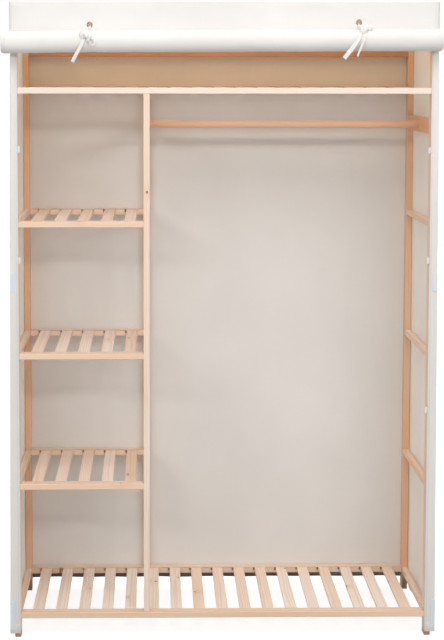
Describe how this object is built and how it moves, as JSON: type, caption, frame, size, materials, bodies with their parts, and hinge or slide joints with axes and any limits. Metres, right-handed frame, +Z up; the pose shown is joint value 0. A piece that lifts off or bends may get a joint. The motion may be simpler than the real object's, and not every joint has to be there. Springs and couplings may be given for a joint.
{
  "type": "portable fabric wardrobe",
  "caption": "Free-standing wardrobe: slatted pine frame with a shelf column and a hanging rail, under a canvas cover whose front is rolled up and tied.",
  "frame": {"origin": "centre of the bounding box on the floor, without the free tails of the ties", "axes": "+X to the right seen from the front, +Y to the back, +Z up; the open front faces -Y"},
  "size_m": [1.1384, 0.4668, 1.6892],
  "materials": {
    "pine": "planed solid pine, clear satin lacquer, eased edges",
    "rod_pine": "turned pine dowel, clear lacquer",
    "canvas": "white cotton canvas in plain weave, hemmed edges",
    "cotton_tape": "white woven cotton tape",
    "hook_and_loop": "white hook-and-loop tape, sewn on",
    "eyelet_metal": "dull nickel-plated pressed eyelet"
  },
  "bodies": {
    "root": {"back_panel": "canvas", "bottom_shelf_front_rail": "pine", "bottom_shelf_slats": "pine", "divider_lower_rung": "pine", "divider_middle_rung": "pine", "divider_rod_bearer": "pine", "divider_upper_rung": "pine", "front_divider_post": "pine", "front_left_post": "pine", "front_right_post": "pine", "front_valance": "canvas", "hanging_rod": "rod_pine", "left_bottom_rung": "pine", "left_eyelet": "eyelet_metal", "left_front_strip": "canvas", "left_lower_patch": "hook_and_loop", "left_lower_rung": "pine", "left_middle_rung": "pine", "left_panel": "canvas", "left_post_tape_1": "cotton_tape", "left_post_tape_2": "cotton_tape", "left_roof_rung": "pine", "left_tie": "cotton_tape", "left_tie_tail": "cotton_tape", "left_upper_patch": "hook_and_loop", "left_upper_rung": "pine", "lower_shelf_front_rail": "pine", "lower_shelf_slats": "pine", "middle_shelf_front_rail": "pine", "middle_shelf_slats": "pine", "rear_divider_post": "pine", "rear_left_post": "pine", "rear_right_post": "pine", "rear_upper_rail": "pine", "right_bottom_rung": "pine", "right_eyelet": "eyelet_metal", "right_front_strip": "canvas", "right_lower_patch": "hook_and_loop", "right_lower_rung": "pine", "right_middle_rung": "pine", "right_panel": "canvas", "right_post_tape_1": "cotton_tape", "right_post_tape_2": "cotton_tape", "right_post_tape_3": "cotton_tape", "right_rod_bearer": "pine", "right_roof_rung": "pine", "right_tie": "cotton_tape", "right_tie_short_tail": "cotton_tape", "right_tie_tail": "cotton_tape", "right_upper_patch": "hook_and_loop", "right_upper_rung": "pine", "roof_front_rail": "pine", "roof_panel": "canvas", "roof_rear_rail": "pine", "top_shelf_front_rail": "pine", "top_shelf_slats": "pine", "upper_shelf_front_rail": "pine", "upper_shelf_slats": "pine"},
    "curtain_sheet": {"front_curtain_sheet": "canvas"},
    "curtain_roll": {"front_curtain_roll": "canvas"}
  },
  "joints": [
    {"name": "curtain_drop", "type": "slide", "parent": "root", "child": "curtain_sheet", "axis": [0, 0, -1], "range_m": [0, 1.549], "deforming": ["front_curtain_sheet", "left_tie", "right_tie", "left_tie_tail", "right_tie_tail", "right_tie_short_tail"]},
    {"name": "roll_turn", "type": "hinge", "parent": "curtain_sheet", "child": "curtain_roll", "pos_m": [0, -0.20308, 1.5885], "axis": [1, 0, 0], "range_deg": [0, 3170]}
  ],
  "couplings": [
    {"joint": "roll_turn", "follows": "curtain_drop", "rad_per_m": 35.714}
  ]
}
